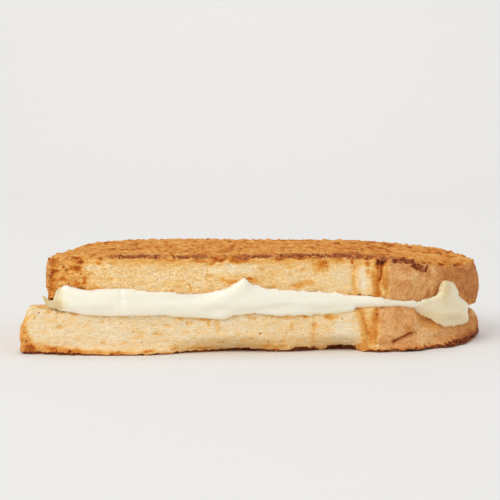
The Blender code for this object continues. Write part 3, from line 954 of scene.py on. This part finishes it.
def shape_lower(points, facing):
    """The lower slice's own unevenness: its scalloped foot, torn seams and dented crust."""
    x, d, z = points.T
    cut, wall = cut_share(points, facing, LOWER_CRUST_START), wall_share(facing)
    depth = cut * 0.25 * layered(points, (7, 5, 4), 171) - rim_chips(points, facing)
    for path, width, _, deep in LOWER_SEAMS:
        depth += cut * deep * stroke(x, z, path, width + 0.3)
    depth += wall * 1.0 * stroke(x, z, CREVICE, 0.8)
    depth += wall * 0.5 * stroke(x, z, ((38.6, 2.3), (40.6, 2.1)), 0.6)
    depth -= wall * 0.6 * patch(x, z, (36.5, 7.6), (4.2, 3.6), -20, 0.8)
    depth -= wall * 0.7 * stroke(x, z, ((39.4, 12.0), (40.2, 9.6), (40.7, 7.0)), 1.8, 0.9)
    depth += wall * 0.7 * patch(x, z, (44.2, 8.0), (2.6, 3.6), 0, 0.8)
    depth -= wall * 0.6 * patch(x, z, (41.2, 2.6), (4.4, 1.3), 10, 0.6)
    depth += wall * smoothstep(30, 38, x) * 0.25 * layered(points, (5, 4, 4), 173)
    points -= depth[:, None] * facing
    left = smoothstep(-57, -60, x) * smoothstep(20, 12, d)
    points[:, 0] -= left * curve(((3, 0), (7.3, 1.1), (10.5, 0.45), (12, 0.9)), z)
    points[:, 2] += 0.5 * left * smoothstep(10, 12, z)
    # behind the cut, the left end falls away below the upper slice
    points[:, 0] += 6.0 * smoothstep(0.5, 3.5, d) * smoothstep(7.0, 11.5, z) * (
        smoothstep(-48, -58, x) * smoothstep(84, 78, d)
    )
    bulge = smoothstep(24.6, 25.4, x) * smoothstep(46, 41, x) * smoothstep(14, 9, d)
    points[:, 2] += bulge * (0.8 + 0.7 * smoothstep(31, 35, x)) * smoothstep(8.0, 11.0, z)
    lean = np.where(curve(FOOT, x) < 0, smoothstep(5.0, 0.2, z), smoothstep(2.2, 0.2, z))
    points[:, 1] -= curve(FOOT, x) * lean * smoothstep(9, 2, d - front_line(x))
    flare = smoothstep(3.2, 0.1, z) * smoothstep(33, 41, x) * smoothstep(70, 50, d)
    points[:, :2] += (flare * curve(((33, 0), (40, 3.4), (50, 3.6), (57, 2.4), (62, 0.3)), x))[:, None] * (
        facing[:, :2] / np.maximum(np.hypot(facing[:, 0], facing[:, 1]), 0.5)[:, None]
    )
    spread = smoothstep(3.2, 0.1, z) * smoothstep(46, 54, x) * smoothstep(50, 30, d)
    points[:, 1] -= 2.3 * spread
    # the upper edge of the cut meets the cheese
    rim = smoothstep(24.6, 22.0, x) * smoothstep(-56, -50, x) * smoothstep(9, 5, d)
    points[:, 2] += 0.6 * rim * smoothstep(-2.5, -0.3, z - curve(LOWER_RIM, x))


def make_slice(name, node, shape, fields, seed, settings, material):
    """One slice over its node: even faces, finer where they show, then relief."""
    piece = merged_copy(node, name)
    evened(piece, settings.cell)
    refined(piece.data, settings.cell, 4, on_front)
    refined(piece.data, settings.cell, 3, beside_front)
    refined(piece.data, settings.cell, 2, lambda c, n: (n[:, 2] > 0.8) & (c[:, 2] > 18))
    points, facing = places(piece.data), normals(piece.data)
    for field, values in fields(points, facing).items():
        store(piece.data, field, values)
    shape(points, facing)
    put_back(piece.data, points)
    run_tree(
        piece,
        relief_tree(),
        {
            "Pore size": settings.pore_size,
            "Pore depth": settings.pore_depth,
            "Fibre size": settings.fibre_size,
            "Fibre depth": settings.fibre_depth,
            "Blister size": settings.blister_size,
            "Blister depth": settings.blister_depth,
            "Wrinkle size": settings.wrinkle_size,
            "Wrinkle depth": settings.wrinkle_depth,
            "Seed": float(seed),
            "Material": material,
        },
    )
    points = places(piece.data)
    points[:, 2] = np.maximum(points[:, 2], 0.0)
    put_back(piece.data, points)
    piece.data.shade_smooth()
    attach(piece, "root")
    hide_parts(node)
    return piece


def on_front(centre, facing):
    """True on the walls that the cut and the near half of the dome make."""
    near_cut = (centre[:, 1] < 6) & (centre[:, 0] < 34)
    return (np.abs(facing[:, 2]) < 0.9) & near_cut


def beside_front(centre, facing):
    """True on the dome, the left end and the near part of a shown top face."""
    x, d, z = centre.T
    walls = (np.abs(facing[:, 2]) < 0.9) & (d < 30)
    top = (facing[:, 2] > 0.5) & (d < 24) & ((z > 18) | (x < -52) | (x > 30))
    return walls | top


def make_loose_toast(upper, lower, settings, material):
    """The loose bits of toast along the rims of both slices."""
    piece = bpy.data.objects.new("loose_toast", bpy.data.meshes.new("loose_toast"))
    bpy.context.scene.collection.objects.link(piece)
    run_tree(
        piece,
        crumbs_tree(),
        {
            "Upper slice": upper,
            "Lower slice": lower,
            "Bits per square metre": settings.density,
            "Smallest bit": settings.smallest,
            "Largest bit": settings.largest,
            "Seed": 7,
            "Material": material,
        },
    )
    piece.data.shade_smooth()
    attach(piece, "root")


# ---------------------------------------------------------------- cheese


RIDGE = ((-37, 12.0), (-28, 12.2), (-19, 12.4), (-12.5, 14.2), (-9.5, 16.0), (-5.2, 18.5))
CHEESE_MIDDLE = ((-58, 13), (-46, 14.3), (0, 14), (24, 14.2), (36, 13), (44, 11.5), (52, 11), (60, 9))
CHEESE_RISE = (  # (x, how much higher the cheese's upper edge is than the solid's)
    (-54, 0.5), (-49, 0.5), (-45, 0.15), (-38, 0.27), (-33, 0.27), (-27.5, 0.45), (-20, 0.5),
    (-16, 0.8), (-13.5, 1.06), (-11.3, 0.7), (-8.7, 0.3), (-5.5, 0.35), (-2.8, -0.25),
    (0, -0.37), (3, 0), (12, 0.2), (19, -0.27), (22.5, -0.6), (25, -0.66), (28.6, -0.5),
    (32, -0.3), (34, -0.5), (36.5, 0), (38, 0.65), (42, 0.72), (46, 0.6), (52, 0.8), (58, 0),
)
CHEESE_DROP = (  # (x, how much lower its lower edge is)
    (-55, -0.35), (-42, 0.19), (-27, 0), (-16, 0.2), (-11.3, 0.37), (-7.8, -0.45), (-5.2, -0.2),
    (0, 0), (6, 0.1), (9, 0.27), (12, 0.56), (12.7, 0.9), (13.4, 0.6), (17.7, 0.8), (19, 0.93),
    (21.5, 1.0), (24.4, 0.96), (24.9, 0.1), (30, 0.3), (33.5, 0.1), (36.3, -0.5), (38, -0.6),
    (40, -0.2), (43.2, 0.48), (46.6, 0.13), (51.5, -0.27), (53, -0.5),
)
DROP_LEFT = (  # (z, how far right the last drop's left side moves)
    (12.4, 0), (13.7, 1.2), (14.9, 1.8), (16.4, 1.7), (17.4, 1.4), (18.4, 1.2),
)
DROP_RIGHT = (  # (z, how far right its right side moves)
    (6.0, -1.6), (7.3, -1.7), (8.8, -0.9), (9.8, -0.4), (10.8, -0.8), (11.6, -1.3), (12.8, -1.4),
    (14.8, -0.3), (16.4, 0.3), (18, 1.0),
)
FILM = (  # the thin film at the left end: x, height of its middle, its own height
    (-52.6, 15.0, 5.6), (-54.0, 15.0, 5.6), (-54.8, 14.8, 5.0), (-55.3, 14.2, 3.8),
    (-55.7, 13.4, 2.4), (-56.5, 13.4, 1.9), (-57.3, 13.8, 1.8), (-57.9, 14.5, 1.9),
    (-58.5, 15.5, 0.6),
)


def shape_cheese(points, facing):
    """The folds that the cheese set in, its peak and the edge of its last drop."""
    x, d, z = points.T
    lip = smoothstep(0.9, 0.5, np.abs(facing[:, 2]))
    front = smoothstep(14, 8, d)
    rise, drop = curve(CHEESE_RISE, x), curve(CHEESE_DROP, x)
    middle = curve(CHEESE_MIDDLE, x)
    points[:, 2] += front * rise * smoothstep(middle, middle + 2.2, z)
    points[:, 2] -= front * drop * smoothstep(middle, middle - 2.2, z)
    in_drop = smoothstep(39.5, 42, x) * smoothstep(63, 60, x) * smoothstep(24, 17, d)
    right = smoothstep(46, 54, x)
    points[:, 0] += in_drop * ((1 - right) * curve(DROP_LEFT, z) + right * curve(DROP_RIGHT, z))
    crown = 0.8 * np.exp(-(((points[:, 0] - 50.6) / 2.2) ** 2))
    crown -= 0.4 * smoothstep(49.0, 47.0, points[:, 0])
    points[:, 2] += in_drop * crown * smoothstep(15.5, 17.5, z)
    x, d, z = points.T
    push = 0.1 * np.ones(len(points))
    push += lip * 0.55 * stroke(x, z, RIDGE, 2.2, 0.9)
    push -= lip * 0.3 * patch(x, z, (-21, 15.2), (6, 1.0), 0, 0.7)
    push -= lip * 0.35 * patch(x, z, (3.5, 12.4), (4.5, 0.9), 8, 0.7)
    push += lip * 0.3 * patch(x, z, (13.5, 13.6), (5.5, 1.2), -4, 0.8)
    push -= lip * 0.22 * stroke(x, z, ((-37.8, 18), (-37.5, 14.5), (-37.6, 11.5)), 0.8, 0.9)
    push += lip * 0.25 * patch(x, z, (-45.0, 14.0), (5.0, 2.2), 0, 0.8)
    push += lip * 0.18 * layered(points, (8, 6, 3.5), 301)
    push += lip * 0.8 * patch(x, z, (41.5, 13.4), (4.5, 1.4), 0, 0.6)
    push += lip * 0.5 * stroke(x, z, ((49.4, 18.6), (49.3, 15.5), (49.8, 13.0)), 1.4, 0.9)
    push -= lip * 0.3 * smoothstep(-52.5, -54.5, x)
    push -= lip * 0.3 * smoothstep(50.2, 55.0, x) * smoothstep(12.0, 13.5, z)
    # the right end draws back between the slices, past the last drop
    points += push[:, None] * facing
    points[:, 0] -= 4.0 * smoothstep(58.5, 64.0, x) * smoothstep(17, 24, d) * smoothstep(74, 66, d)
    # below its middle the front leans back onto the lower slice
    points[:, 1] += 0.5 * front * smoothstep(middle, middle - 2.5, z)
    tip = np.exp(-(((points[:, 0] + 5.2) / 1.0) ** 2))
    points[:, 2] += 0.9 * tip * smoothstep(17.5, 19.5, points[:, 2]) * lip


def cheese_yellowing(points):
    """How yellow the cheese has gone: where it is thin or old, at its edges and in its last drop."""
    x, d, z = points.T
    edge = 1 - smoothstep(0.3, 1.2, z - curve(LOWER_RIM, x) + 0.8)
    yellow = 0.06 + 0.45 * smoothstep(-52.6, -53.8, x) + 0.35 * smoothstep(-54, -58, x) + 0.22 * edge
    yellow += 0.4 * patch(x, z, (-53.6, 13.4), (2.2, 1.2), 0, 0.6)
    yellow += 0.14 * smoothstep(24, 34, x)
    yellow += 0.22 * smoothstep(41, 45, x) + 0.12 * smoothstep(13, 17, z) * smoothstep(41, 45, x)
    yellow += 0.2 * patch(x, z, (50.6, 16.0), (1.6, 3.4), 0, 0.5)
    return yellow + 0.05 * layered(points, (5, 4, 3), 311)


def add_film(mesh):
    """Joins a thin film of cheese to the mesh, hanging out at its left end."""
    cage = bmesh.new()
    cage.from_mesh(mesh)
    rows, faces, half_thick, sides = [], [], 0.25, 16
    table = np.array(FILM)[::-1]
    for x in np.linspace(FILM[0][0], FILM[-1][0], 24):
        middle, height = (np.interp(x, table[:, 0], table[:, i]) for i in (1, 2))
        row = []
        for angle in np.linspace(0, 2 * pi, sides, endpoint=False):
            z = middle + height / 2 * cos(angle) * (1 + 0.08 * sin(9 * x))
            d = -0.95 + 0.2 * smoothstep(-54, -56, x) * sin(1.3 * x) - half_thick * sin(angle)
            row.append(cage.verts.new((x * MM, (d + CUT_PLANE) * MM, z * MM)))
        rows.append(row)
    for a, b in zip(rows, rows[1:]):
        for i in range(sides):
            j = (i + 1) % sides
            faces.append(cage.faces.new((a[i], b[i], b[j], a[j])))
    faces.append(cage.faces.new(rows[0]))
    faces.append(cage.faces.new(rows[-1][::-1]))
    bmesh.ops.recalc_face_normals(cage, faces=faces)
    cage.to_mesh(mesh)
    cage.free()


def make_cheese(settings, material):
    """The cheese over its node, with its film at the left end."""
    piece = merged_copy("cheese", "melted_cheese")
    evened(piece, settings.cell, settings.smoothing)
    refined(
        piece.data, settings.cell, 2, lambda c, n: (np.abs(n[:, 2]) < 0.9) & (c[:, 1] < 30)
    )
    points, facing = places(piece.data), normals(piece.data)
    shape_cheese(points, facing)
    put_back(piece.data, points)
    add_film(piece.data)
    store(piece.data, "yellowing", np.clip(cheese_yellowing(places(piece.data)), 0, 1))
    piece.data.materials.append(material)
    piece.data.shade_smooth()
    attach(piece, "root")
    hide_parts("cheese")
    return piece


# ---------------------------------------------------------------- stage


def sweep(colour):
    """A pale floor that curves up into a wall far behind."""
    cage = bmesh.new()
    half_width, near, bend, radius, height = 3.0, -3.0, 1.5, 1.0, 3.0
    profile = [(near, 0.0), (bend, 0.0)]
    profile += [
        (bend + radius * sin(a), radius * (1 - cos(a))) for a in np.linspace(0, pi / 2, 24)[1:]
    ]
    profile.append((bend + radius, height))
    rows = [[cage.verts.new((x, y, z)) for x in (-half_width, half_width)] for y, z in profile]
    for a, b in zip(rows, rows[1:]):
        cage.faces.new((a[0], a[1], b[1], b[0]))
    mesh = bpy.data.meshes.new("paper_sweep")
    cage.to_mesh(mesh)
    cage.free()
    mesh.shade_smooth()
    material = bpy.data.materials.new("matte white paper")
    material.use_nodes = True
    shader = material.node_tree.nodes["Principled BSDF"]
    shader.inputs["Base Color"].default_value = colour
    shader.inputs["Roughness"].default_value = 0.9
    shader.inputs["Specular IOR Level"].default_value = 0.1
    mesh.materials.append(material)
    stage = bpy.data.objects.new("paper_sweep", mesh)
    bpy.context.scene.collection.objects.link(stage)


def area_light(name, place, target, size, power, colour):
    data = bpy.data.lights.new(name, "AREA")
    data.shape = "DISK"
    data.size = size
    data.energy = power
    data.color = colour[:3]
    light = bpy.data.objects.new(name, data)
    light.location = place
    light.rotation_euler = (Vector(target) - Vector(place)).to_track_quat("-Z", "Y").to_euler()
    bpy.context.scene.collection.objects.link(light)


def camera():
    data = bpy.data.cameras.new("camera")
    data.lens = 86.4
    eye = bpy.data.objects.new("camera", data)
    eye.location = (-3.6 * MM, (CUT_PLANE - 317.5) * MM, 48.6 * MM)
    eye.rotation_euler = (radians(90 - 3.75), 0.0, 0.0)
    bpy.context.scene.collection.objects.link(eye)
    bpy.context.scene.camera = eye


# ---------------------------------------------------------------- add-on


class BreadSettings(bpy.types.PropertyGroup):
    cell: FloatProperty(
        name="Face size", description="Size of a slice's faces before they are refined",
        default=1.0 * MM, unit="LENGTH",
    )
    pore_size: FloatProperty(
        name="Pore size", description="Distance between the pores of the crumb",
        default=1.7 * MM, unit="LENGTH",
    )
    pore_depth: FloatProperty(
        name="Pore depth", description="Depth of a wide pore", default=0.35 * MM, unit="LENGTH"
    )
    fibre_size: FloatProperty(
        name="Fibre size", description="Height of the crumb's soft fibres",
        default=0.9 * MM, unit="LENGTH",
    )
    fibre_depth: FloatProperty(
        name="Fibre depth", description="Relief of the crumb's fibres",
        default=0.16 * MM, unit="LENGTH",
    )
    blister_size: FloatProperty(
        name="Blister size", description="Size of the fried faces' blisters and gaps",
        default=1.7 * MM, unit="LENGTH",
    )
    blister_depth: FloatProperty(
        name="Blister depth", description="Relief of the fried faces", default=0.7 * MM,
        unit="LENGTH",
    )
    wrinkle_size: FloatProperty(
        name="Wrinkle size", description="Size of the crust's wrinkles",
        default=0.9 * MM, unit="LENGTH",
    )
    wrinkle_depth: FloatProperty(
        name="Wrinkle depth", description="Relief of the crust's wrinkles",
        default=0.08 * MM, unit="LENGTH",
    )


class LooseSettings(bpy.types.PropertyGroup):
    density: FloatProperty(
        name="Loose bits", description="Most loose bits of toast on a square metre",
        default=900000.0, min=0.0,
    )
    smallest: FloatProperty(
        name="Smallest bit", description="Radius of the smallest bit", default=0.08 * MM,
        unit="LENGTH",
    )
    largest: FloatProperty(
        name="Largest bit", description="Radius of the largest bit", default=0.24 * MM,
        unit="LENGTH",
    )


class CheeseSettings(bpy.types.PropertyGroup):
    cell: FloatProperty(
        name="Face size", description="Size of the cheese's faces before they are refined",
        default=0.6 * MM, unit="LENGTH",
    )
    smoothing: IntProperty(
        name="Smoothing", description="How many times the cheese is smoothed", default=4, min=0
    )


class StageSettings(bpy.types.PropertyGroup):
    floor_colour: FloatVectorProperty(
        name="Floor", description="Colour of the paper sweep", subtype="COLOR", size=4,
        min=0.0, max=1.0, default=linear("#efeeec"),
    )
    key_power: FloatProperty(
        name="Key light", description="Power of the soft light at the upper left",
        default=10.0, unit="POWER",
    )
    wall_power: FloatProperty(
        name="Backdrop light", description="Power of the light on the wall behind",
        default=9.5, unit="POWER",
    )
    sky: FloatProperty(
        name="Surroundings", description="Strength of the white surroundings", default=0.74
    )


class MakeUpperBread(bpy.types.Operator):
    """Makes the upper slice of toasted bread"""

    bl_idname = "sandwich.upper_bread"
    bl_label = "Upper slice"

    def execute(self, context):
        make_slice(
            "upper_slice", "upper_bread", shape_upper, upper_fields, 3,
            context.scene.sandwich_bread, toasted_white_bread(COLOURS),
        )
        return {"FINISHED"}


class MakeLowerBread(bpy.types.Operator):
    """Makes the lower slice of toasted bread"""

    bl_idname = "sandwich.lower_bread"
    bl_label = "Lower slice"

    def execute(self, context):
        make_slice(
            "lower_slice", "lower_bread", shape_lower, lower_fields, 8,
            context.scene.sandwich_bread, bpy.data.materials["toasted white bread"],
        )
        return {"FINISHED"}


class MakeLooseToast(bpy.types.Operator):
    """Makes the loose bits of toast along the rims of both slices"""

    bl_idname = "sandwich.loose_toast"
    bl_label = "Loose toast"

    def execute(self, context):
        slices = (bpy.data.objects[name] for name in ("upper_slice", "lower_slice"))
        make_loose_toast(*slices, context.scene.sandwich_loose, loose_toast(COLOURS))
        return {"FINISHED"}


class MakeCheese(bpy.types.Operator):
    """Makes the melted cheese between the slices"""

    bl_idname = "sandwich.cheese"
    bl_label = "Cheese"

    def execute(self, context):
        make_cheese(context.scene.sandwich_cheese, melted_mozzarella(COLOURS))
        return {"FINISHED"}


class MakeStage(bpy.types.Operator):
    """Makes the floor, the lights and the camera"""

    bl_idname = "sandwich.stage"
    bl_label = "Stage"

    def execute(self, context):
        settings = context.scene.sandwich_stage
        sweep(settings.floor_colour)
        area_light(
            "key", (-0.95, -1.1, 1.1), (0, 0, 0.01), 1.1, settings.key_power, (1.0, 0.99, 0.97)
        )
        area_light(
            "backdrop", (0.0, 0.9, 2.2), (0, 2.5, 0.7), 1.0, settings.wall_power, (1.0, 1.0, 1.0)
        )
        world = bpy.data.worlds.new("surroundings")
        world.use_nodes = True
        sky = world.node_tree.nodes["Background"]
        sky.inputs["Color"].default_value = (1.0, 1.0, 1.0, 1.0)
        sky.inputs["Strength"].default_value = settings.sky
        context.scene.world = world
        context.scene.view_settings.view_transform = "Standard"
        context.scene.view_settings.look = "None"
        camera()
        return {"FINISHED"}


OPERATORS = (MakeUpperBread, MakeLowerBread, MakeLooseToast, MakeCheese, MakeStage)


class SandwichPanel(bpy.types.Panel):
    bl_idname = "VIEW3D_PT_sandwich"
    bl_label = "Grilled cheese sandwich"
    bl_space_type = "VIEW_3D"
    bl_region_type = "UI"
    bl_category = "Sandwich"

    def draw(self, context):
        for operator in OPERATORS:
            self.layout.operator(operator.bl_idname)
        for group in GROUPS:
            settings = getattr(context.scene, group)
            for name in settings.__annotations__:
                self.layout.prop(settings, name)


GROUPS = {
    "sandwich_bread": BreadSettings,
    "sandwich_loose": LooseSettings,
    "sandwich_cheese": CheeseSettings,
    "sandwich_stage": StageSettings,
}


def register():
    for kind in (*GROUPS.values(), *OPERATORS, SandwichPanel):
        bpy.utils.register_class(kind)
    for name, kind in GROUPS.items():
        setattr(bpy.types.Scene, name, PointerProperty(type=kind))


def unregister():
    for name in GROUPS:
        delattr(bpy.types.Scene, name)
    for kind in reversed((*GROUPS.values(), *OPERATORS, SandwichPanel)):
        bpy.utils.unregister_class(kind)


def main():
    register()
    bpy.ops.sandwich.upper_bread()
    bpy.ops.sandwich.lower_bread()
    bpy.ops.sandwich.loose_toast()
    bpy.ops.sandwich.cheese()
    bpy.ops.sandwich.stage()


if __name__ == "__main__":
    main()
